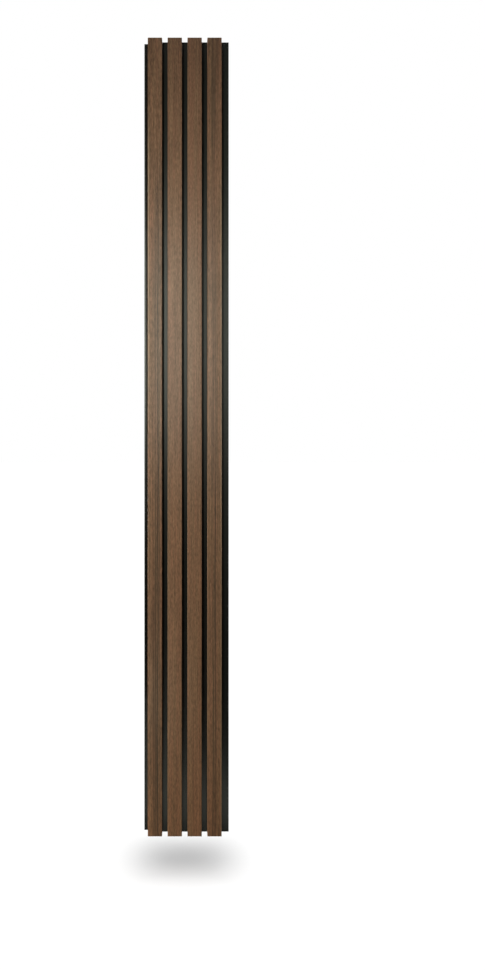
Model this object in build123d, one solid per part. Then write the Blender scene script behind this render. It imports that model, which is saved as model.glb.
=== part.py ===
from build123d import *

import os

# Composite slat wall panel: hollow walnut-faced slats bonded to a black interlocking backing panel.
# X runs across the panel, Y from the room towards the wall, and Z up along the slats.
# The origin is the middle of the back face, which lies against the wall in the plane Y = 0,
# so the slat faces look along -Y.

# Overall run of the extruded pieces, in millimetres
PANEL_LENGTH = 2200.0

# Slats, which repeat across the panel
SLAT_COUNT = 4
SLAT_WIDTH = 39.5
SLAT_HEIGHT = 16.0
SLAT_WALL = 3.5
SLAT_ARRIS = 1.5
CHAMBER_RADIUS = 1.5
GROOVE_WIDTH = 15.25

# Backing panel
BACKING_THICKNESS = 10.0
EDGE_ROUND = 0.8

# Left edge: a flange that is screwed to the wall, and a slot under the first slat
FLANGE_WIDTH = 11.0
FLANGE_THICKNESS = 4.0
SLOT_DEPTH = 6.0

# Right edge: a lip that slides over the next panel's flange and into its slot
LIP_CLEARANCE = 0.3
TIP_CLEARANCE = 0.5
FLANGE_END_CLEARANCE = 0.75
LEAD_IN = 1.0

# Shallow relief channels along the back, one behind each slat
RELIEF_DEPTH = 2.5
RELIEF_LAND = 2.0

# Places worked out from the sizes above
PITCH = SLAT_WIDTH + GROOVE_WIDTH
SLATS_SPAN = SLAT_COUNT * SLAT_WIDTH + (SLAT_COUNT - 1) * GROOVE_WIDTH
SLATS_LEFT = -SLATS_SPAN / 2
SLATS_RIGHT = SLATS_SPAN / 2
SLAT_CENTRES = [SLATS_LEFT + SLAT_WIDTH / 2 + number * PITCH for number in range(SLAT_COUNT)]
FLANGE_EDGE = SLATS_LEFT - FLANGE_WIDTH
SHOULDER = SLATS_LEFT + SLOT_DEPTH
LIP_TIP = SLATS_RIGHT + GROOVE_WIDTH + SLOT_DEPTH - TIP_CLEARANCE
REBATE_WALL = SLATS_RIGHT + GROOVE_WIDTH - FLANGE_WIDTH - FLANGE_END_CLEARANCE


def corner(section: Sketch, x: float, y: float) -> Vertex:
    """The corner of a section that lies nearest to a point."""
    return section.vertices().sort_by_distance((x, y, 0))[0]


def extruded(section: Sketch) -> Part:
    """A section drawn in X and Y, run over the panel's length and centred on Z = 0."""
    return extrude(section, PANEL_LENGTH / 2, both=True)


def relief_channel(centre: float) -> Sketch:
    """The section of one relief channel in the back face, with its sides sloped at 45 degrees."""
    half_mouth = SLAT_WIDTH / 2 - SLOT_DEPTH - RELIEF_LAND
    half_floor = half_mouth - RELIEF_DEPTH
    mouth_to_floor = Polyline(
        (centre - half_mouth, 0),
        (centre - half_floor, -RELIEF_DEPTH),
        (centre + half_floor, -RELIEF_DEPTH),
        (centre + half_mouth, 0),
        close=True,
    )
    return make_face(mouth_to_floor)


def backing_panel() -> Part:
    """The black backing: a board with a flange and slot at its left edge and a lip at its right."""
    front = -BACKING_THICKNESS
    flange_face = -FLANGE_THICKNESS
    lip_front = front + LIP_CLEARANCE
    lip_back = flange_face - LIP_CLEARANCE
    outline = Polyline(
        (FLANGE_EDGE, 0),
        (REBATE_WALL, 0),
        (REBATE_WALL, lip_back),
        (LIP_TIP, lip_back),
        (LIP_TIP, lip_front),
        (SLATS_RIGHT, lip_front),
        (SLATS_RIGHT, front),
        (SHOULDER, front),
        (SHOULDER, flange_face),
        (FLANGE_EDGE, flange_face),
        close=True,
    )
    section = make_face(outline)
    section = fillet(corner(section, FLANGE_EDGE, flange_face), EDGE_ROUND)
    section = fillet(corner(section, LIP_TIP, lip_front), EDGE_ROUND)
    section = chamfer(corner(section, LIP_TIP, lip_back), LEAD_IN)
    for centre in SLAT_CENTRES:
        section -= relief_channel(centre)
    return extruded(section)


def slat(centre: float) -> Part:
    """One slat: a hollow bar with rounded front edges, its foot flat on the backing's front face."""
    middle_depth = -BACKING_THICKNESS - SLAT_HEIGHT / 2
    face_depth = -BACKING_THICKNESS - SLAT_HEIGHT
    bar = Pos(centre, middle_depth) * Rectangle(SLAT_WIDTH, SLAT_HEIGHT)
    for side in (-1, 1):
        bar = fillet(corner(bar, centre + side * SLAT_WIDTH / 2, face_depth), SLAT_ARRIS)
    chamber = RectangleRounded(SLAT_WIDTH - 2 * SLAT_WALL, SLAT_HEIGHT - 2 * SLAT_WALL, CHAMBER_RADIUS)
    return extruded(bar - Pos(centre, middle_depth) * chamber)


def main() -> None:
    """Builds every piece and writes one STEP file for each."""
    pieces = {"backing_panel": backing_panel()}
    for number, centre in enumerate(SLAT_CENTRES, start=1):
        pieces[f"slat_{number}"] = slat(centre)
    os.makedirs("parts", exist_ok=True)
    for name, piece in pieces.items():
        export_step(piece, f"parts/{name}.step")
        box = piece.bounding_box()
        print(name, "volume", round(piece.volume), "from", tuple(box.min), "to", tuple(box.max))


main()
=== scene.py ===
import logging
import math
from collections.abc import Callable
from dataclasses import dataclass
from enum import Enum

import bmesh
import bpy
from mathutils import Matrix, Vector


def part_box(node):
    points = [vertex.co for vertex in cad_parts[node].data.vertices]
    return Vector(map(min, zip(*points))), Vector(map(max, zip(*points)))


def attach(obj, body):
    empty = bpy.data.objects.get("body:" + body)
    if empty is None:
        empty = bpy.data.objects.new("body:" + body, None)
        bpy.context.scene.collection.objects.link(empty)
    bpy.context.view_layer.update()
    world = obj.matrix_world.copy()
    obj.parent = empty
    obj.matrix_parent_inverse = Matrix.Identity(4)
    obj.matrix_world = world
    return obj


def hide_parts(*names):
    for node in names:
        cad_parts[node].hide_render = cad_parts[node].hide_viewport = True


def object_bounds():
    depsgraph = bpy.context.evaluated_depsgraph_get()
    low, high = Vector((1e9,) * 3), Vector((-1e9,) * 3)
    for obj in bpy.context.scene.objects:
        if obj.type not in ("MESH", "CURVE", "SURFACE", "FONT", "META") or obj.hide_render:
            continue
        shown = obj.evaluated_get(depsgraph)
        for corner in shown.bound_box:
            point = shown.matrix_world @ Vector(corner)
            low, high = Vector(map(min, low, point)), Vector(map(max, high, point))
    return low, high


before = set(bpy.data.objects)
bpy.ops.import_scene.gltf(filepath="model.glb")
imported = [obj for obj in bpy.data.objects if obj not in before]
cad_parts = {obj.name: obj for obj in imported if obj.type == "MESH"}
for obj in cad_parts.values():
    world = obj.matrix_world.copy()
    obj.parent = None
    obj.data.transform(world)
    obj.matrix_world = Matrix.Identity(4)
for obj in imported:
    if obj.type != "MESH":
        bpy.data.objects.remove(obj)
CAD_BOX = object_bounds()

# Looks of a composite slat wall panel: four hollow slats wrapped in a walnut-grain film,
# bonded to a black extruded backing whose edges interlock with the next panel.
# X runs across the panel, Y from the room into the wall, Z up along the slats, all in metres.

LOG = logging.getLogger("slat_panel")
BODY = "root"
MM = 0.001

# Lengths that differ by less than this are the same when parts of a mesh are picked
NEAR = 0.02 * MM

# A face whose normal points further along Z than this belongs to a sawn end
END_ON = 0.9

# At a sharp sawn corner, the end's normal points further along Z than this, and the long face's less far
LEANING = 0.5

# Faces that meet at less than the first angle are shaded as one, and at less than the second are flat
SMOOTH_ANGLE = math.radians(40)
FLAT_ANGLE = math.radians(1)

# Stands a plane up on its edge, and turns a camera to look along Y
UPRIGHT = (math.radians(90), 0, 0)

# Sockets of the Mix node in its colour form, which share their names with its other forms
MIX_FACTOR = 0
MIX_FIRST = 6
MIX_SECOND = 7
MIX_RESULT = 2
MIX_COLOURS = {"data_type": "RGBA"}
SMOOTH_STEP = {"interpolation_type": "SMOOTHSTEP"}

# Noise keeps mostly within a quarter of its middle, so a span of four meanders sways by one to each side
SWAY_SPAN = 4

# Each slat's film starts this much further along the printed roll
PRINT_STEP = 7.3


class Pick(Enum):
    """What a selection in edit mode is made of."""

    VERTEX = "VERT"
    EDGE = "EDGE"
    FACE = "FACE"


class Cut(Enum):
    """How the printed veneer was cut from the log, which sets how strong its streaks are."""

    QUARTER = 1.0
    RIFT = 1.2


class Lit(Enum):
    """Which pieces a light falls on."""

    SLATS = "slats"
    BACKING = "backing"
    PANEL = "panel"


def linear(hex_code: str) -> tuple[float, float, float, float]:
    """Turns an sRGB hex colour into a linear one.

    Args:
        hex_code: Six hex digits after a hash sign.

    Returns:
        Linear red, green and blue, with full alpha.
    """
    shares = [int(hex_code[start:start + 2], 16) / 255 for start in (1, 3, 5)]
    red, green, blue = (s / 12.92 if s <= 0.04045 else ((s + 0.055) / 1.055) ** 2.4 for s in shares)
    return red, green, blue, 1.0


def add_node(
    tree: bpy.types.NodeTree,
    kind: str,
    settings: dict[str, object] | None = None,
    inputs: dict[str | int, object] | None = None,
) -> bpy.types.Node:
    """Adds a node with its settings, and with its sockets set or linked.

    Args:
        tree: The node tree that gets the node.
        kind: The node's Blender type.
        settings: Properties of the node by name.
        inputs: Values by socket name or number; an output socket as a value makes a link.

    Returns:
        The new node.
    """
    node = tree.nodes.new(kind)
    for name, value in (settings or {}).items():
        setattr(node, name, value)
    for name, value in (inputs or {}).items():
        if isinstance(value, bpy.types.NodeSocket):
            tree.links.new(value, node.inputs[name])
        else:
            node.inputs[name].default_value = value
    return node


def new_material(name: str) -> tuple[bpy.types.Material, bpy.types.NodeTree]:
    """Starts a material with an empty node tree."""
    material = bpy.data.materials.new(name)
    material.use_nodes = True
    material.node_tree.nodes.clear()
    return material, material.node_tree


def start_block(name: str, low: Vector, high: Vector) -> bpy.types.Object:
    """Adds a block between two corners, with its place in its mesh.

    Args:
        name: The piece's name.
        low: Its lowest corner.
        high: Its highest corner.

    Returns:
        The block's object, active and selected, at the origin.
    """
    bpy.ops.object.select_all(action="DESELECT")
    bpy.ops.mesh.primitive_cube_add(size=1, location=(low + high) / 2)
    piece = bpy.context.active_object
    piece.name = piece.data.name = name
    piece.scale = high - low
    bpy.ops.object.transform_apply(location=True, rotation=False, scale=True)
    return piece


def pick(piece: bpy.types.Object, kind: Pick, test: Callable[[object], bool]) -> None:
    """Selects exactly the elements of a mesh in edit mode that pass a test.

    Args:
        piece: The object that is in edit mode.
        kind: Whether vertices, edges or faces are chosen.
        test: Says of one bmesh element whether it is chosen.
    """
    bpy.ops.mesh.select_mode(type=kind.value)
    bpy.ops.mesh.select_all(action="DESELECT")
    shape = bmesh.from_edit_mesh(piece.data)
    elements = {Pick.VERTEX: shape.verts, Pick.EDGE: shape.edges, Pick.FACE: shape.faces}[kind]
    for element in [element for element in elements if test(element)]:
        element.select_set(True)
    shape.select_flush_mode()
    bmesh.update_edit_mesh(piece.data)


def is_near(value: float, target: float) -> bool:
    """Whether two lengths are the same for picking."""
    return abs(value - target) < NEAR


def is_end(face: bmesh.types.BMFace | bpy.types.MeshPolygon) -> bool:
    """Whether a face is a sawn end."""
    return abs(face.normal.z) > END_ON


def on_saw_cut(edge: bmesh.types.BMEdge) -> bool:
    """Whether an edge is a sharp corner between a sawn end and a long face."""
    if len(edge.link_faces) != 2:
        return False
    upright = sorted(abs(face.normal.z) for face in edge.link_faces)
    return upright[0] < LEANING < upright[1]


def pick_long_edges(piece: bpy.types.Object, places: list[tuple[float, float]]) -> None:
    """Selects the edges that run along Z at some places in the section.

    Args:
        piece: The object that is in edit mode.
        places: The X and Y of each edge.
    """

    def runs_there(edge: bmesh.types.BMEdge) -> bool:
        """Whether both ends of an edge lie at one of the places."""
        ends = [vertex.co for vertex in edge.verts]
        return any(all(is_near(end.x, x) and is_near(end.y, y) for end in ends) for x, y in places)

    pick(piece, Pick.EDGE, runs_there)


def round_edges(segments: int, radius_mm: float) -> None:
    """Bevels the selected edges to a radius."""
    bpy.ops.mesh.bevel(
        offset_type="OFFSET", offset=radius_mm * MM, segments=segments, affect="EDGES", clamp_overlap=True
    )


def score(point: tuple[float, float, float], normal: tuple[float, float, float]) -> None:
    """Cuts the whole mesh in edit mode along a plane, and takes nothing away."""
    bpy.ops.mesh.select_all(action="SELECT")
    bpy.ops.mesh.bisect(plane_co=point, plane_no=normal)


def light_group(name: str, things: list[bpy.types.Object]) -> bpy.types.Collection:
    """Groups the objects that a light falls on or is stopped by."""
    group = bpy.data.collections.new(name)
    for thing in things:
        group.objects.link(thing)
    return group


@dataclass(frozen=True)
class GrainLayer:
    """One scale of the printed grain, as stretched noise.

    Attributes:
        width_mm: Spacing of its streaks across the slat.
        length_mm: Length of its streaks along the slat.
        weight: How much it shows.
    """

    width_mm: float
    length_mm: float
    weight: float = 1.0


@dataclass(frozen=True)
class Stripe:
    """A stripe of heartwood or sapwood that wanders along a slat, or a painted highlight along an arris.

    Attributes:
        tone: Its colour.
        offset_mm: Its middle, measured to the right of the slat's middle.
        half_width_mm: From its middle to where it has faded out.
        meander_mm: How far it wanders to each side.
        strength: How much of its colour shows, from 0 to 1.
        figure: How far the grain breaks it into separate lines, from 0 to 1.
        fade_up: The height above which it fades and the height where it is gone, in metres.
        fade_down: The height below which it fades and the height where it is gone, in metres.
            Both fades lie beyond the panel's ends unless they are given.
    """

    tone: str
    offset_mm: float
    half_width_mm: float
    meander_mm: float
    strength: float
    figure: float = 0.85
    fade_up: tuple[float, float] = (2.0, 3.0)
    fade_down: tuple[float, float] = (-2.0, -3.0)


@dataclass(frozen=True)
class WalnutFilm:
    """Printed and embossed walnut-grain film, wrapped over the slat's face and sides.

    It gives the eye a warm mid-brown with soft streaks along the slat, fine dark pores
    and a satin sheen that broadens under a large light.

    Attributes:
        name: The material's name.
        middle_x: The slat's middle across the panel, in metres.
        print_shift: Where along the printed roll this length was taken, so no two slats match.
        cut: How strong the streaks are.
        stripes: The slat's stripes of other wood, and its painted arris highlights.
        dark: The grain's colour at its darkest.
        russet, olive: The two tones that the grain's lightest parts drift between.
        pore_tone: The colour of the open pores.
        layers: The scales of the grain, from broad to fine.
        drift: The patches in which the light parts turn from russet to olive.
        figure: The lines that the grain breaks the stripes into.
        pores: The open pores.
        drift_step, figure_step, pore_step: The noise at which each of these starts and is full.
        noise_detail, noise_roughness: How much finer noise lies within each layer.
        wander_mm: The length over which a stripe sways.
        roughness: The film's roughness where its grain is neither dark nor light.
        gloss_step: What the darkest and the lightest grain add to the roughness.
        emboss_mm: The depth of the embossed grain.
        emboss_strength: How much of that depth the shading takes up.
        ior: The index of refraction of the film's clear coat.
    """

    name: str
    middle_x: float
    print_shift: float
    cut: Cut
    stripes: tuple[Stripe, ...]
    dark: str = "#564337"
    russet: str = "#966e5b"
    olive: str = "#91715c"
    pore_tone: str = "#35281d"
    # The film's true fibres are about 0.4 mm wide: they are drawn coarser so that they still show
    layers: tuple[GrainLayer, ...] = (
        GrainLayer(width_mm=14.0, length_mm=900.0, weight=0.2),
        GrainLayer(width_mm=3.2, length_mm=400.0, weight=0.6),
        GrainLayer(width_mm=2.4, length_mm=90.0, weight=0.8),
        GrainLayer(width_mm=2.2, length_mm=11.0, weight=1.2),
    )
    drift: GrainLayer = GrainLayer(width_mm=6.0, length_mm=420.0)
    figure: GrainLayer = GrainLayer(width_mm=3.2, length_mm=900.0)
    # Walnut pores are about 0.3 by 8 mm: they are drawn three times as wide so that they show
    pores: GrainLayer = GrainLayer(width_mm=0.9, length_mm=15.0, weight=0.5)
    drift_step: tuple[float, float] = (0.35, 0.65)
    figure_step: tuple[float, float] = (0.52, 0.40)
    pore_step: tuple[float, float] = (0.60, 0.72)
    noise_detail: float = 1.0
    noise_roughness: float = 0.55
    wander_mm: float = 450.0
    roughness: float = 0.46
    gloss_step: tuple[float, float] = (0.06, -0.04)
    emboss_mm: float = 0.06
    emboss_strength: float = 0.5
    ior: float = 1.5

    def streaks(
        self, tree: bpy.types.NodeTree, place: bpy.types.NodeSocket, layer: GrainLayer
    ) -> bpy.types.NodeSocket:
        """Adds the noise of one layer of grain.

        Args:
            tree: The material's node tree.
            place: The Object coordinates.
            layer: The layer's sizes.

        Returns:
            The noise from 0 to 1, with 0.5 in the middle.
        """
        across = 1 / (layer.width_mm * MM)
        along = 1 / (layer.length_mm * MM)
        stretched = add_node(
            tree,
            "ShaderNodeMapping",
            inputs={
                "Vector": place,
                "Location": (self.print_shift, self.print_shift, self.print_shift),
                "Scale": (across, across, along),
            },
        )
        noise = add_node(
            tree,
            "ShaderNodeTexNoise",
            inputs={
                "Vector": stretched.outputs["Vector"],
                "Scale": 1.0,
                "Detail": self.noise_detail,
                "Roughness": self.noise_roughness,
            },
        )
        return noise.outputs["Fac"]

    def grain(self, tree: bpy.types.NodeTree, place: bpy.types.NodeSocket) -> bpy.types.NodeSocket:
        """Adds all layers of grain together.

        Args:
            tree: The material's node tree.
            place: The Object coordinates.

        Returns:
            The grain from 0, dark, to 1, light.
        """
        total: bpy.types.NodeSocket | float = 0.5
        for layer in self.layers:
            centred = add_node(
                tree,
                "ShaderNodeMath",
                {"operation": "SUBTRACT"},
                {0: self.streaks(tree, place, layer), 1: 0.5},
            )
            summed = add_node(
                tree,
                "ShaderNodeMath",
                {"operation": "MULTIPLY_ADD", "use_clamp": layer is self.layers[-1]},
                {0: centred.outputs["Value"], 1: layer.weight * self.cut.value, 2: total},
            )
            total = summed.outputs["Value"]
        return total

    def stripe_share(
        self, tree: bpy.types.NodeTree, place: bpy.types.NodeSocket, stripe: Stripe
    ) -> bpy.types.NodeSocket:
        """Adds the place and strength of one stripe.

        Args:
            tree: The material's node tree.
            place: The Object coordinates.
            stripe: The stripe's sizes.

        Returns:
            How much of the stripe's colour shows, from 0 to its strength.
        """
        wander = add_node(
            tree,
            "ShaderNodeMapping",
            inputs={
                "Vector": place,
                "Location": (stripe.offset_mm, 0.0, self.print_shift),
                "Scale": (0.0, 0.0, 1 / (self.wander_mm * MM)),
            },
        )
        sway = add_node(
            tree,
            "ShaderNodeTexNoise",
            inputs={"Vector": wander.outputs["Vector"], "Scale": 1.0, "Detail": 2.0},
        )
        axes = add_node(tree, "ShaderNodeSeparateXYZ", inputs={"Vector": place})
        swayed = add_node(
            tree,
            "ShaderNodeMath",
            {"operation": "MULTIPLY_ADD"},
            {0: sway.outputs["Fac"], 1: SWAY_SPAN * stripe.meander_mm * MM, 2: axes.outputs["X"]},
        )
        centre = self.middle_x + (stripe.offset_mm + SWAY_SPAN / 2 * stripe.meander_mm) * MM
        from_centre = add_node(
            tree, "ShaderNodeMath", {"operation": "SUBTRACT"}, {0: swayed.outputs["Value"], 1: centre}
        )
        distance = add_node(
            tree, "ShaderNodeMath", {"operation": "ABSOLUTE"}, {0: from_centre.outputs["Value"]}
        )
        # What each fade follows, where it starts and ends, and what it gives there
        fades = (
            (distance.outputs["Value"], (stripe.half_width_mm * MM, 0.0), (0.0, stripe.strength)),
            (axes.outputs["Z"], stripe.fade_up, (1.0, 0.0)),
            (axes.outputs["Z"], stripe.fade_down[::-1], (0.0, 1.0)),
            (self.streaks(tree, place, self.figure), self.figure_step, (1 - stripe.figure, 1.0)),
        )
        share: bpy.types.NodeSocket | float = 1.0
        for value, (start, end), (at_start, at_end) in fades:
            faded = add_node(
                tree,
                "ShaderNodeMapRange",
                SMOOTH_STEP,
                {"Value": value, "From Min": start, "From Max": end, "To Min": at_start, "To Max": at_end},
            )
            left = add_node(
                tree, "ShaderNodeMath", {"operation": "MULTIPLY"}, {0: share, 1: faded.outputs["Result"]}
            )
            share = left.outputs["Value"]
        return share

    def material(self) -> bpy.types.Material:
        """Builds the film's material."""
        material, tree = new_material(self.name)
        place = add_node(tree, "ShaderNodeTexCoord").outputs["Object"]
        grain = self.grain(tree, place)
        hue = add_node(
            tree,
            "ShaderNodeMapRange",
            SMOOTH_STEP,
            {
                "Value": self.streaks(tree, place, self.drift),
                "From Min": self.drift_step[0],
                "From Max": self.drift_step[1],
            },
        )
        pores = add_node(
            tree,
            "ShaderNodeMapRange",
            SMOOTH_STEP,
            {
                "Value": self.streaks(tree, place, self.pores),
                "From Min": self.pore_step[0],
                "From Max": self.pore_step[1],
                "To Max": self.pores.weight,
            },
        ).outputs["Result"]
        bright = add_node(
            tree,
            "ShaderNodeMix",
            MIX_COLOURS,
            {
                MIX_FACTOR: hue.outputs["Result"],
                MIX_FIRST: linear(self.russet),
                MIX_SECOND: linear(self.olive),
            },
        )
        colour = add_node(
            tree,
            "ShaderNodeMix",
            MIX_COLOURS,
            {MIX_FACTOR: grain, MIX_FIRST: linear(self.dark), MIX_SECOND: bright.outputs[MIX_RESULT]},
        )
        coats = [(self.stripe_share(tree, place, stripe), stripe.tone) for stripe in self.stripes]
        for share, tone in (*coats, (pores, self.pore_tone)):
            colour = add_node(
                tree,
                "ShaderNodeMix",
                MIX_COLOURS,
                {MIX_FACTOR: share, MIX_FIRST: colour.outputs[MIX_RESULT], MIX_SECOND: linear(tone)},
            )
        gloss = add_node(
            tree,
            "ShaderNodeMapRange",
            inputs={
                "Value": grain,
                "To Min": self.roughness + self.gloss_step[0],
                "To Max": self.roughness + self.gloss_step[1],
            },
        )
        relief = add_node(tree, "ShaderNodeMath", {"operation": "SUBTRACT"}, {0: grain, 1: pores})
        bump = add_node(
            tree,
            "ShaderNodeBump",
            inputs={
                "Strength": self.emboss_strength,
                "Distance": self.emboss_mm * MM,
                "Height": relief.outputs["Value"],
            },
        )
        shader = add_node(
            tree,
            "ShaderNodeBsdfPrincipled",
            inputs={
                "Base Color": colour.outputs[MIX_RESULT],
                "Roughness": gloss.outputs["Result"],
                "IOR": self.ior,
                "Normal": bump.outputs["Normal"],
            },
        )
        add_node(tree, "ShaderNodeOutputMaterial", inputs={"Surface": shader.outputs["BSDF"]})
        return material


@dataclass(frozen=True)
class SawnComposite:
    """Wood-plastic composite as the saw left it.

    It gives the eye a dull face with specks of wood flour and fine saw lines.

    Attributes:
        name: The material's name.
        ground: The plastic's colour.
        speck: The colour of the wood flour in it.
        speck_mm: The size of a speck.
        speck_step: The noise at which a speck starts and is full.
        saw_mm: The spacing of the saw's lines.
        saw_stretch: A line's width as a share of its length.
        saw_depth_mm: The depth of the lines.
        saw_strength: How much of that depth the shading takes up.
        roughness: The roughness of the cut.
        ior: The plastic's index of refraction.
    """

    name: str
    ground: str
    speck: str
    speck_mm: float = 0.7
    speck_step: tuple[float, float] = (0.48, 0.72)
    saw_mm: float = 0.9
    saw_stretch: float = 0.15
    saw_depth_mm: float = 0.12
    saw_strength: float = 0.6
    roughness: float = 0.72
    ior: float = 1.5

    def material(self) -> bpy.types.Material:
        """Builds the sawn composite's material."""
        material, tree = new_material(self.name)
        place = add_node(tree, "ShaderNodeTexCoord").outputs["Object"]
        flour = add_node(
            tree,
            "ShaderNodeTexNoise",
            inputs={"Vector": place, "Scale": 1 / (self.speck_mm * MM), "Detail": 2.0, "Roughness": 0.6},
        )
        share = add_node(
            tree,
            "ShaderNodeMapRange",
            SMOOTH_STEP,
            {
                "Value": flour.outputs["Fac"],
                "From Min": self.speck_step[0],
                "From Max": self.speck_step[1],
            },
        )
        colour = add_node(
            tree,
            "ShaderNodeMix",
            MIX_COLOURS,
            {
                MIX_FACTOR: share.outputs["Result"],
                MIX_FIRST: linear(self.ground),
                MIX_SECOND: linear(self.speck),
            },
        )
        spacing = self.saw_mm * MM
        cut_lines = add_node(
            tree,
            "ShaderNodeMapping",
            inputs={"Vector": place, "Scale": (self.saw_stretch / spacing, 1 / spacing, 0.0)},
        )
        saw = add_node(
            tree,
            "ShaderNodeTexNoise",
            inputs={"Vector": cut_lines.outputs["Vector"], "Scale": 1.0, "Detail": 2.0},
        )
        bump = add_node(
            tree,
            "ShaderNodeBump",
            inputs={
                "Strength": self.saw_strength,
                "Distance": self.saw_depth_mm * MM,
                "Height": saw.outputs["Fac"],
            },
        )
        shader = add_node(
            tree,
            "ShaderNodeBsdfPrincipled",
            inputs={
                "Base Color": colour.outputs[MIX_RESULT],
                "Roughness": self.roughness,
                "IOR": self.ior,
                "Normal": bump.outputs["Normal"],
            },
        )
        add_node(tree, "ShaderNodeOutputMaterial", inputs={"Surface": shader.outputs["BSDF"]})
        return material


@dataclass(frozen=True)
class BlackComposite:
    """Black wood-plastic composite as it leaves the die: satin, with faint drawn lines along its run.

    It gives the eye a near-black with a soft grey sheen where a large light glances off it.

    Attributes:
        name: The material's name.
        ground: The main colour.
        haze: The colour of the slightly greyer drawn lines.
        line_mm: The spacing of the drawn lines.
        run_mm: The length of the drawn lines.
        line_depth_mm: The depth of the drawn lines.
        line_strength: How much of that depth the shading takes up.
        roughness: The middle roughness.
        gloss_spread: How far the drawn lines change the roughness to each side.
        ior: The plastic's index of refraction.
    """

    name: str
    ground: str = "#0d0f0d"
    haze: str = "#141613"
    line_mm: float = 1.4
    run_mm: float = 320.0
    line_depth_mm: float = 0.03
    line_strength: float = 0.35
    roughness: float = 0.47
    gloss_spread: float = 0.05
    ior: float = 1.59

    def material(self) -> bpy.types.Material:
        """Builds the extruded composite's material."""
        material, tree = new_material(self.name)
        place = add_node(tree, "ShaderNodeTexCoord").outputs["Object"]
        across = 1 / (self.line_mm * MM)
        along = 1 / (self.run_mm * MM)
        drawn = add_node(
            tree, "ShaderNodeMapping", inputs={"Vector": place, "Scale": (across, across, along)}
        )
        lines = add_node(
            tree,
            "ShaderNodeTexNoise",
            inputs={"Vector": drawn.outputs["Vector"], "Scale": 1.0, "Detail": 3.0, "Roughness": 0.6},
        ).outputs["Fac"]
        colour = add_node(
            tree,
            "ShaderNodeMix",
            MIX_COLOURS,
            {MIX_FACTOR: lines, MIX_FIRST: linear(self.ground), MIX_SECOND: linear(self.haze)},
        )
        gloss = add_node(
            tree,
            "ShaderNodeMapRange",
            inputs={
                "Value": lines,
                "To Min": self.roughness - self.gloss_spread,
                "To Max": self.roughness + self.gloss_spread,
            },
        )
        bump = add_node(
            tree,
            "ShaderNodeBump",
            inputs={"Strength": self.line_strength, "Distance": self.line_depth_mm * MM, "Height": lines},
        )
        shader = add_node(
            tree,
            "ShaderNodeBsdfPrincipled",
            inputs={
                "Base Color": colour.outputs[MIX_RESULT],
                "Roughness": gloss.outputs["Result"],
                "IOR": self.ior,
                "Normal": bump.outputs["Normal"],
            },
        )
        add_node(tree, "ShaderNodeOutputMaterial", inputs={"Surface": shader.outputs["BSDF"]})
        return material


@dataclass
class Slat:
    """One hollow slat, wrapped in film, with its sawn ends open.

    Attributes:
        node: The slat's name in the frame.
        film: The finish of its face and sides.
        core: The finish of its ends, chamber and foot.
        wall_mm: The wall around the chamber.
        arris_mm: The radius of the face's long edges.
        chamber_round_mm: The radius of the chamber's corners.
        foot_round_mm: The radius of the foot's long edges.
        saw_break_mm: How far the sawn edges are broken.
    """

    node: str
    film: WalnutFilm
    core: bpy.types.Material
    wall_mm: float = 3.5
    arris_mm: float = 1.5
    chamber_round_mm: float = 1.5
    foot_round_mm: float = 0.4
    saw_break_mm: float = 0.25

    def build(self) -> bpy.types.Object:
        """Models the slat in the CAD slat's place.

        Returns:
            The slat's object, at the origin.
        """
        low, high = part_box(self.node)
        piece = start_block(f"{self.node}_wrapped", low, high)
        bpy.ops.object.mode_set(mode="EDIT")
        pick(piece, Pick.FACE, is_end)
        bpy.ops.mesh.inset(thickness=self.wall_mm * MM, use_individual=True)
        bpy.ops.mesh.bridge_edge_loops()
        wall = Vector((1, 1, 0)) * self.wall_mm * MM
        inner_low = low + wall
        inner_high = high - wall
        corners = [(x, y) for x in (inner_low.x, inner_high.x) for y in (inner_low.y, inner_high.y)]
        pick_long_edges(piece, corners)
        round_edges(segments=4, radius_mm=self.chamber_round_mm)
        pick_long_edges(piece, [(low.x, low.y), (high.x, low.y)])
        round_edges(segments=8, radius_mm=self.arris_mm)
        pick_long_edges(piece, [(low.x, high.y), (high.x, high.y)])
        round_edges(segments=2, radius_mm=self.foot_round_mm)
        pick(piece, Pick.EDGE, on_saw_cut)
        round_edges(segments=2, radius_mm=self.saw_break_mm)
        bpy.ops.object.mode_set(mode="OBJECT")
        self.dress(piece, inner_low, inner_high, high.y)
        bpy.ops.object.shade_smooth_by_angle(angle=SMOOTH_ANGLE)
        return piece

    def dress(self, piece: bpy.types.Object, inner_low: Vector, inner_high: Vector, foot_y: float) -> None:
        """Gives the film to the outside and the core to the ends, the chamber and the foot.

        Args:
            piece: The modelled slat.
            inner_low: The chamber's lowest corner.
            inner_high: The chamber's highest corner.
            foot_y: The plane of the slat's foot.
        """
        piece.data.materials.append(self.film.material())
        piece.data.materials.append(self.core)
        for face in piece.data.polygons:
            inside = (
                inner_low.x - NEAR < face.center.x < inner_high.x + NEAR
                and inner_low.y - NEAR < face.center.y < inner_high.y + NEAR
            )
            bonded = is_near(face.center.y, foot_y)
            face.material_index = int(inside or is_end(face) or bonded)


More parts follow.
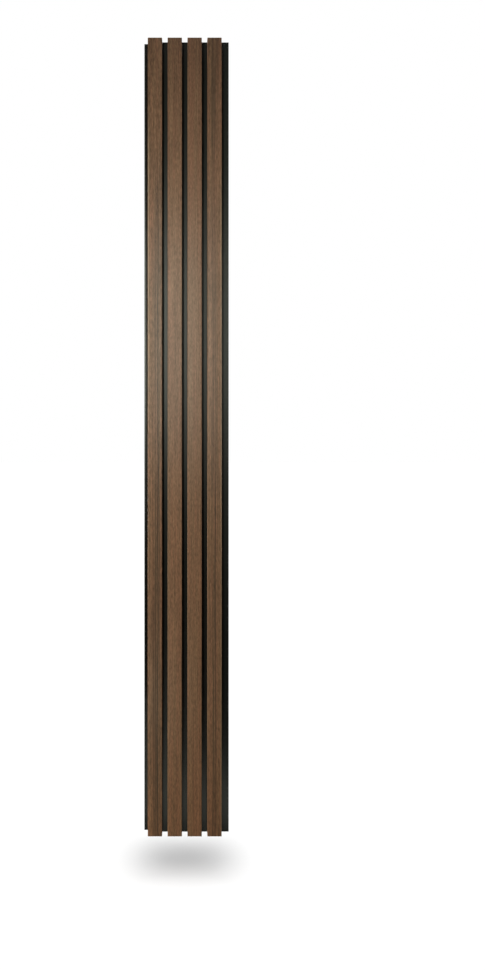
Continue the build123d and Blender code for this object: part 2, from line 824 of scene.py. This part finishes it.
@dataclass
class Backing:
    """The black backing: its section is cut out of a plane and run up the panel's length.

    Attributes:
        node: The backing's name in the frame.
        slat_boxes: The low and high corners of the slats, from the left.
        skin: The finish as extruded.
        sawn: The finish of the ends.
        flange_mm: The flange's thickness.
        slot_depth_mm: How far the slot reaches under the first slat.
        lip_gap_mm: The clearance on each face of the lip in the next panel's slot.
        flange_end_gap_mm: The clearance at the edge of the next panel's flange.
        relief_mm: The depth of the relief channels in the back.
        relief_land_mm: The land between the slot's depth and a channel's mouth.
        edge_round_mm: The radius of the flange's and the lip's front edges.
        lead_in_mm: The chamfer at the back of the lip.
        saw_break_mm: How far the sawn edges are broken.
    """

    node: str
    slat_boxes: list[tuple[Vector, Vector]]
    skin: bpy.types.Material
    sawn: bpy.types.Material
    flange_mm: float = 4.0
    slot_depth_mm: float = 6.0
    lip_gap_mm: float = 0.3
    flange_end_gap_mm: float = 0.75
    relief_mm: float = 2.5
    relief_land_mm: float = 2.0
    edge_round_mm: float = 0.8
    lead_in_mm: float = 1.0
    saw_break_mm: float = 0.2

    def build(self) -> bpy.types.Object:
        """Models the backing in the CAD backing's place.

        Returns:
            The backing's object, at the origin.
        """
        low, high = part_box(self.node)
        piece = self.blank(low, high)
        bpy.ops.object.mode_set(mode="EDIT")
        self.cut_section(piece, low, high)
        bpy.ops.mesh.select_all(action="SELECT")
        bpy.ops.mesh.extrude_region_move(TRANSFORM_OT_translate={"value": (0, 0, high.z - low.z)})
        bpy.ops.mesh.select_all(action="SELECT")
        bpy.ops.mesh.remove_doubles(threshold=NEAR)
        bpy.ops.mesh.normals_make_consistent(inside=False)
        self.round_long_edges(piece, low, high)
        bpy.ops.object.mode_set(mode="OBJECT")
        piece.data.materials.append(self.skin)
        piece.data.materials.append(self.sawn)
        for face in piece.data.polygons:
            face.material_index = int(is_end(face))
        bpy.ops.object.shade_smooth_by_angle(angle=SMOOTH_ANGLE)
        return piece

    def blank(self, low: Vector, high: Vector) -> bpy.types.Object:
        """Adds the flat blank that the section is cut from, at the panel's lower end."""
        bpy.ops.object.select_all(action="DESELECT")
        middle = (low + high) / 2
        bpy.ops.mesh.primitive_plane_add(size=1, location=(middle.x, middle.y, low.z))
        piece = bpy.context.active_object
        piece.name = piece.data.name = f"{self.node}_extruded"
        piece.scale = (high.x - low.x, high.y - low.y, 1)
        bpy.ops.object.transform_apply(location=True, rotation=False, scale=True)
        return piece

    def depths(self, low: Vector, high: Vector) -> tuple[float, float, float]:
        """Where the flange's face, the lip's back and the lip's front lie along Y."""
        flange_face = high.y - self.flange_mm * MM
        return flange_face, flange_face - self.lip_gap_mm * MM, low.y + self.lip_gap_mm * MM

    def cut_section(self, piece: bpy.types.Object, low: Vector, high: Vector) -> None:
        """Scores the blank along the section's lines and takes away what lies outside it.

        Args:
            piece: The blank, in edit mode.
            low: The backing's lowest corner.
            high: The backing's highest corner.
        """
        flange_face, lip_back, lip_front = self.depths(low, high)
        slats_left, slats_right = self.slat_boxes[0][0].x, self.slat_boxes[-1][1].x
        groove = self.slat_boxes[1][0].x - self.slat_boxes[0][1].x
        shoulder = slats_left + self.slot_depth_mm * MM
        flange_width = slats_left - low.x
        rebate_wall = slats_right + groove - flange_width - self.flange_end_gap_mm * MM
        relief_floor = high.y - self.relief_mm * MM
        inset = (self.slot_depth_mm + self.relief_land_mm) * MM
        mouths = [(left.x + inset, right.x - inset) for left, right in self.slat_boxes]
        for x in (shoulder, slats_right, rebate_wall, *(edge for mouth in mouths for edge in mouth)):
            score((x, 0, 0), (1, 0, 0))
        for y in (flange_face, lip_back, lip_front, relief_floor):
            score((0, y, 0), (0, 1, 0))

        def outside(face: bmesh.types.BMFace) -> bool:
            """Whether a scored cell is no part of the section."""
            x, y, _ = face.calc_center_median()
            over_flange = x < shoulder and y < flange_face
            over_lip = x > slats_right and y < lip_front
            behind_lip = x > rebate_wall and y > lip_back
            in_relief = y > relief_floor and any(first < x < last for first, last in mouths)
            return over_flange or over_lip or behind_lip or in_relief

        pick(piece, Pick.FACE, outside)
        bpy.ops.mesh.delete(type="FACE")
        for first, last in mouths:
            for corner, inward in ((first, 1), (last, -1)):
                pick(
                    piece,
                    Pick.VERTEX,
                    lambda vertex: is_near(vertex.co.x, corner) and is_near(vertex.co.y, relief_floor),
                )
                bpy.ops.transform.translate(value=(inward * self.relief_mm * MM, 0, 0))
        bpy.ops.mesh.select_all(action="SELECT")
        bpy.ops.mesh.dissolve_limited(angle_limit=FLAT_ANGLE)

    def round_long_edges(self, piece: bpy.types.Object, low: Vector, high: Vector) -> None:
        """Rounds the flange's and the lip's long edges and breaks the sawn ones.

        Args:
            piece: The backing, in edit mode.
            low: The backing's lowest corner.
            high: The backing's highest corner.
        """
        flange_face, lip_back, lip_front = self.depths(low, high)
        pick_long_edges(piece, [(low.x, flange_face), (high.x, lip_front)])
        round_edges(segments=5, radius_mm=self.edge_round_mm)
        pick_long_edges(piece, [(high.x, lip_back)])
        round_edges(segments=1, radius_mm=self.lead_in_mm)
        pick(piece, Pick.EDGE, on_saw_cut)
        round_edges(segments=2, radius_mm=self.saw_break_mm)


@dataclass(frozen=True)
class SoftBox:
    """One soft rectangular studio light.

    Attributes:
        name: The light's name.
        place: Where its middle is.
        aim: The point that it faces.
        size: Its width and height.
        watts: Its power.
        tone: Its colour.
        lit: The pieces that it falls on.
    """

    name: str
    place: tuple[float, float, float]
    aim: tuple[float, float, float]
    size: tuple[float, float]
    watts: float
    tone: str = "#ffffff"
    lit: Lit = Lit.PANEL

    def build(self, takers: bpy.types.Collection, blockers: bpy.types.Collection) -> None:
        """Hangs the light in its place.

        Args:
            takers: The pieces that the light falls on.
            blockers: The pieces that stop it.
        """
        bpy.ops.object.light_add(type="AREA", location=self.place)
        light = bpy.context.active_object
        light.name = light.data.name = self.name
        light.data.shape = "RECTANGLE"
        light.data.size, light.data.size_y = self.size
        light.data.energy = self.watts
        light.data.color = linear(self.tone)[:3]
        light.light_linking.receiver_collection = takers
        light.light_linking.blocker_collection = blockers
        facing = Vector(self.aim) - Vector(self.place)
        light.rotation_euler = facing.to_track_quat("-Z", "Y").to_euler()


# Tones of the lights that fill the slats' faces, graze their sides, and glance off the backing
FILL = "#fff2cf"
RIM = "#fff4e2"
SHEEN = "#faffee"


@dataclass
class Studio:
    """The plain pale floor, the soft lights and the camera.

    Attributes:
        face_y: The plane of the slats' faces.
        bottom_z: The panel's lower end.
        slats: The slats' objects.
        backing: The backing's object.
        camera_distance: From the slats' faces to the camera.
        lens_mm, sensor_mm: The camera's focal length and sensor width.
        frame_px: The picture's width and height.
        panel_middle_px: Where the panel's middle lies in the picture, from its upper left corner.
        hover: The floor's distance below the panel.
        floor_size, floor_tone: The floor's width and colour.
        ambient: The strength of the light from all around.
        overhead_height, overhead_spread_deg, overhead_strength: The light that only the floor takes.
        shadow_size, shadow_y, shadow_lift: The flag that shades the floor: its width and depth, its
            middle along Y and its height above the panel's lower end.
        flange_flag_mm: The width of the flag that shades the flange.
        flange_flag_length: Its length.
        flange_flag_x_mm, flange_flag_gap_mm, flange_flag_z: Its middle, and its gap to the slats' faces.
        softboxes: The lights on the panel.
    """

    face_y: float
    bottom_z: float
    slats: list[bpy.types.Object]
    backing: bpy.types.Object
    camera_distance: float = 1.32
    lens_mm: float = 17.79
    sensor_mm: float = 36.0
    frame_px: tuple[int, int] = (485, 970)
    panel_middle_px: tuple[float, float] = (184.7, 437.0)
    hover: float = 0.065
    floor_size: float = 40.0
    floor_tone: str = "#f4f4f4"
    ambient: float = 0.01
    overhead_height: float = 3.0
    overhead_spread_deg: float = 80.0
    overhead_strength: float = 3.6
    shadow_size: tuple[float, float] = (0.29, 0.055)
    shadow_y: float = -0.02
    shadow_lift: float = 0.03
    flange_flag_mm: float = 6.4
    flange_flag_length: float = 1.9
    flange_flag_x_mm: float = -112.9
    flange_flag_gap_mm: float = 4.0
    flange_flag_z: float = 0.2
    # Each one's name, place, aim, size, watts, tone and what it falls on
    softboxes: tuple[SoftBox, ...] = (
        SoftBox("key", (-0.08, -0.98, 0.52), (0.0, 0.0, 0.26), (0.26, 1.15), 7.9, "#ffffeb", Lit.SLATS),
        SoftBox("left_fill", (-2.4, -1.0, -0.75), (0.0, 0.0, -0.65), (0.6, 1.6), 52.0, FILL, Lit.SLATS),
        SoftBox("right_fill", (2.4, -1.0, -0.1), (0.0, 0.0, -0.1), (0.6, 2.4), 12.0, FILL, Lit.SLATS),
        SoftBox("low_fill", (-1.0, -1.2, -1.25), (0.0, 0.0, -0.95), (0.4, 0.4), 4.4, FILL, Lit.SLATS),
        SoftBox("foot_fill", (-0.25, -0.60, -1.25), (0.0, 0.0, -1.05), (0.15, 0.15), 0.9, FILL, Lit.SLATS),
        SoftBox("rim_left", (-1.2, 0.07, 0.25), (0.0, 0.0, 0.25), (0.1, 1.4), 8.0, RIM, Lit.SLATS),
        SoftBox("rim_right", (1.2, 0.07, 0.25), (0.0, 0.0, 0.25), (0.1, 1.4), 8.0, RIM, Lit.SLATS),
        SoftBox("sheen_near", (-0.40, -0.98, 0.60), (0.0, 0.0, 0.33), (0.1, 1.0), 9.6, SHEEN, Lit.BACKING),
        SoftBox("sheen_far", (-1.03, -2.33, 0.905), (0.0, 0.0, 0.33), (0.25, 1.6), 14.0, SHEEN, Lit.BACKING),
        SoftBox("sheen_right", (0.35, -0.98, 0.60), (0.0, 0.0, 0.33), (0.1, 1.0), 1.6, SHEEN, Lit.BACKING),
        SoftBox("lip_fill", (1.8, -1.2, 0.1), (0.0, 0.0, 0.1), (0.15, 2.0), 10.0, SHEEN, Lit.BACKING),
        SoftBox("foot_side", (-0.25, -0.60, -1.25), (0.0, 0.0, -1.0), (0.15, 0.15), 0.16, SHEEN, Lit.BACKING),
        SoftBox("foot_near", (0.0, -0.12, -1.16), (0.0, -0.12, 0.0), (0.32, 0.12), 0.12, SHEEN, Lit.BACKING),
        SoftBox("foot_far", (-0.12, -0.28, -1.16), (-0.12, -0.28, 0.0), (0.1, 0.2), 0.07, SHEEN, Lit.BACKING),
        SoftBox("back_left", (-1.6, 1.5, 0.4), (0.0, 0.0, 0.0), (1.0, 2.4), 34.0),
        SoftBox("back_right", (1.6, 1.5, 0.4), (0.0, 0.0, 0.0), (1.0, 2.4), 20.0),
        SoftBox("top_end", (0.0, 0.30, 1.9), (0.0, 0.30, 0.0), (0.6, 0.4), 6.0),
    )

    def build(self) -> None:
        """Sets up the whole studio."""
        bpy.context.scene.view_settings.view_transform = "Standard"
        self.set_world()
        floor = self.add_floor()
        self.add_overhead(floor)
        takers = {
            Lit.SLATS: light_group("lit slats", self.slats),
            Lit.BACKING: light_group("lit backing", [self.backing]),
            Lit.PANEL: light_group("lit panel", [*self.slats, self.backing]),
        }
        blockers = {
            Lit.SLATS: takers[Lit.PANEL],
            Lit.BACKING: light_group("stops sheen", [*self.slats, self.backing, self.add_flange_flag()]),
            Lit.PANEL: takers[Lit.PANEL],
        }
        for softbox in self.softboxes:
            softbox.build(takers[softbox.lit], blockers[softbox.lit])
        self.add_camera()

    def set_world(self) -> None:
        """White behind everything for the camera, and nearly dark for all other rays."""
        world = bpy.data.worlds.new("white_studio")
        world.use_nodes = True
        tree = world.node_tree
        tree.nodes.clear()
        seen = add_node(tree, "ShaderNodeLightPath").outputs["Is Camera Ray"]
        ambient = add_node(tree, "ShaderNodeBackground", inputs={"Strength": self.ambient})
        white = add_node(tree, "ShaderNodeBackground", inputs={"Color": (1, 1, 1, 1), "Strength": 1.0})
        mixed = add_node(
            tree,
            "ShaderNodeMixShader",
            inputs={0: seen, 1: ambient.outputs["Background"], 2: white.outputs["Background"]},
        )
        add_node(tree, "ShaderNodeOutputWorld", inputs={"Surface": mixed.outputs["Shader"]})
        bpy.context.scene.world = world

    def add_floor(self) -> bpy.types.Object:
        """Lays the floor a little below the panel, which hangs on the wall.

        Returns:
            The floor.
        """
        bpy.ops.object.select_all(action="DESELECT")
        bpy.ops.mesh.primitive_plane_add(size=self.floor_size, location=(0, 0, self.bottom_z - self.hover))
        floor = bpy.context.active_object
        floor.name = "floor"
        # Matt paint, which gives the eye an even pale ground with no reflection
        material, tree = new_material("pale painted floor")
        shader = add_node(tree, "ShaderNodeBsdfDiffuse", inputs={"Color": linear(self.floor_tone)})
        add_node(tree, "ShaderNodeOutputMaterial", inputs={"Surface": shader.outputs["BSDF"]})
        floor.data.materials.append(material)
        floor.visible_glossy = floor.visible_diffuse = False
        return floor

    def add_overhead(self, floor: bpy.types.Object) -> None:
        """Lights the floor evenly from above, with a flag under the light that gives a soft shadow.

        Args:
            floor: The floor, which alone takes this light.
        """
        bpy.ops.object.select_all(action="DESELECT")
        bpy.ops.mesh.primitive_circle_add(
            vertices=64,
            radius=0.5,
            fill_type="NGON",
            location=(0, self.shadow_y, self.bottom_z + self.shadow_lift),
        )
        flag = bpy.context.active_object
        flag.name = "shadow_flag"
        flag.scale = (*self.shadow_size, 1)
        flag.visible_camera = flag.visible_diffuse = flag.visible_glossy = False
        bpy.ops.object.light_add(type="SUN", location=(0, 0, self.overhead_height))
        overhead = bpy.context.active_object
        overhead.name = "overhead"
        overhead.data.angle = math.radians(self.overhead_spread_deg)
        overhead.data.energy = self.overhead_strength
        overhead.light_linking.receiver_collection = light_group("lit floor", [floor])
        overhead.light_linking.blocker_collection = light_group("shading flag", [flag])

    def add_flange_flag(self) -> bpy.types.Object:
        """Holds a narrow flag before the flange's inner half, so that only its outer edge takes the sheen.

        Returns:
            The flag.
        """
        bpy.ops.object.select_all(action="DESELECT")
        place = (self.flange_flag_x_mm * MM, self.face_y - self.flange_flag_gap_mm * MM, self.flange_flag_z)
        bpy.ops.mesh.primitive_plane_add(size=1, location=place, rotation=UPRIGHT)
        flag = bpy.context.active_object
        flag.name = "flange_flag"
        flag.scale = (self.flange_flag_mm * MM, self.flange_flag_length, 1)
        flag.visible_camera = flag.visible_diffuse = flag.visible_glossy = False
        return flag

    def add_camera(self) -> None:
        """Stands the camera before the panel's middle, with the lens shifted as the picture is framed."""
        bpy.ops.object.camera_add(location=(0, self.face_y - self.camera_distance, 0), rotation=UPRIGHT)
        camera = bpy.context.active_object
        camera.data.lens = self.lens_mm
        camera.data.sensor_width = self.sensor_mm
        long_side = max(self.frame_px)
        camera.data.shift_x = (self.frame_px[0] / 2 - self.panel_middle_px[0]) / long_side
        camera.data.shift_y = (self.panel_middle_px[1] - self.frame_px[1] / 2) / long_side
        bpy.context.scene.camera = camera


# Tones of the stripes: dark heartwood, darker veins in it, red-brown wood near the bark, painted arris
# highlight
HEART = "#433a33"
VEIN = "#2e2a28"
BARK = "#45291f"
ARRIS_HIGHLIGHT = "#b9aa97"

# Each stripe's tone, offset, half width, meander and strength, and where it is broken up or fades
SLAT_CUTS: dict[str, tuple[Cut, tuple[Stripe, ...]]] = {
    "slat_1": (
        Cut.RIFT,
        (
            Stripe(HEART, 4.0, 18.0, 3.0, 0.80, figure=0.75, fade_up=(0.65, 0.85)),
            Stripe(BARK, -2.0, 24.0, 2.0, 0.42, figure=0.3, fade_up=(-0.55, -0.25), fade_down=(-0.80, -1.05)),
            Stripe(VEIN, 8.0, 2.6, 3.0, 0.9, figure=0.2, fade_up=(0.55, 0.75)),
            # Painted highlight: a pale line along the left arris, where light glances off its rounding
            Stripe(ARRIS_HIGHLIGHT, -17.6, 2.6, 0.0, 0.42, figure=0.0, fade_up=(0.75, 0.95), fade_down=(0.25, -0.1)),
        ),
    ),
    "slat_2": (Cut.QUARTER, (Stripe(HEART, 8.0, 8.0, 4.0, 0.15),)),
    "slat_3": (Cut.QUARTER, (Stripe(HEART, -4.0, 9.0, 4.0, 0.15),)),
    "slat_4": (
        Cut.QUARTER,
        (
            Stripe(HEART, -2.0, 20.0, 3.0, 0.57),
            Stripe(VEIN, -5.0, 2.2, 3.0, 0.5, figure=0.3),
            Stripe(VEIN, 1.5, 2.2, 4.0, 0.6, figure=0.3),
            # Painted highlight: a pale line along the right arris, where light glances off its rounding
            Stripe(ARRIS_HIGHLIGHT, 18.1, 1.6, 0.0, 0.4, figure=0.0, fade_up=(0.6, 0.8)),
        ),
    ),
}


def main() -> None:
    """Builds the slats, the backing and the studio."""
    logging.basicConfig(level=logging.INFO, format="%(name)s: %(message)s")
    core = SawnComposite("sawn brown composite", ground="#5b4534", speck="#8d7052").material()
    slat_boxes = [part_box(node) for node in SLAT_CUTS]
    slats = []
    for number, (node, (cut, stripes)) in enumerate(SLAT_CUTS.items(), start=1):
        low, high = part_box(node)
        film = WalnutFilm(f"walnut film {number}", (low.x + high.x) / 2, PRINT_STEP * number, cut, stripes)
        piece = Slat(node, film, core).build()
        slats.append(piece)
        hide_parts(node)
        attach(piece, BODY)
        LOG.info("%s stands for %s with %d faces", piece.name, node, len(piece.data.polygons))

    skin = BlackComposite("black extruded composite").material()
    sawn = SawnComposite("sawn black composite", ground="#131413", speck="#2b2a26").material()
    backing = Backing("backing_panel", slat_boxes, skin, sawn).build()
    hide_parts("backing_panel")
    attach(backing, BODY)
    LOG.info("%s stands for backing_panel with %d faces", backing.name, len(backing.data.polygons))

    Studio(slat_boxes[0][0].y, CAD_BOX[0].z, slats, backing).build()


if __name__ == "__main__":
    main()
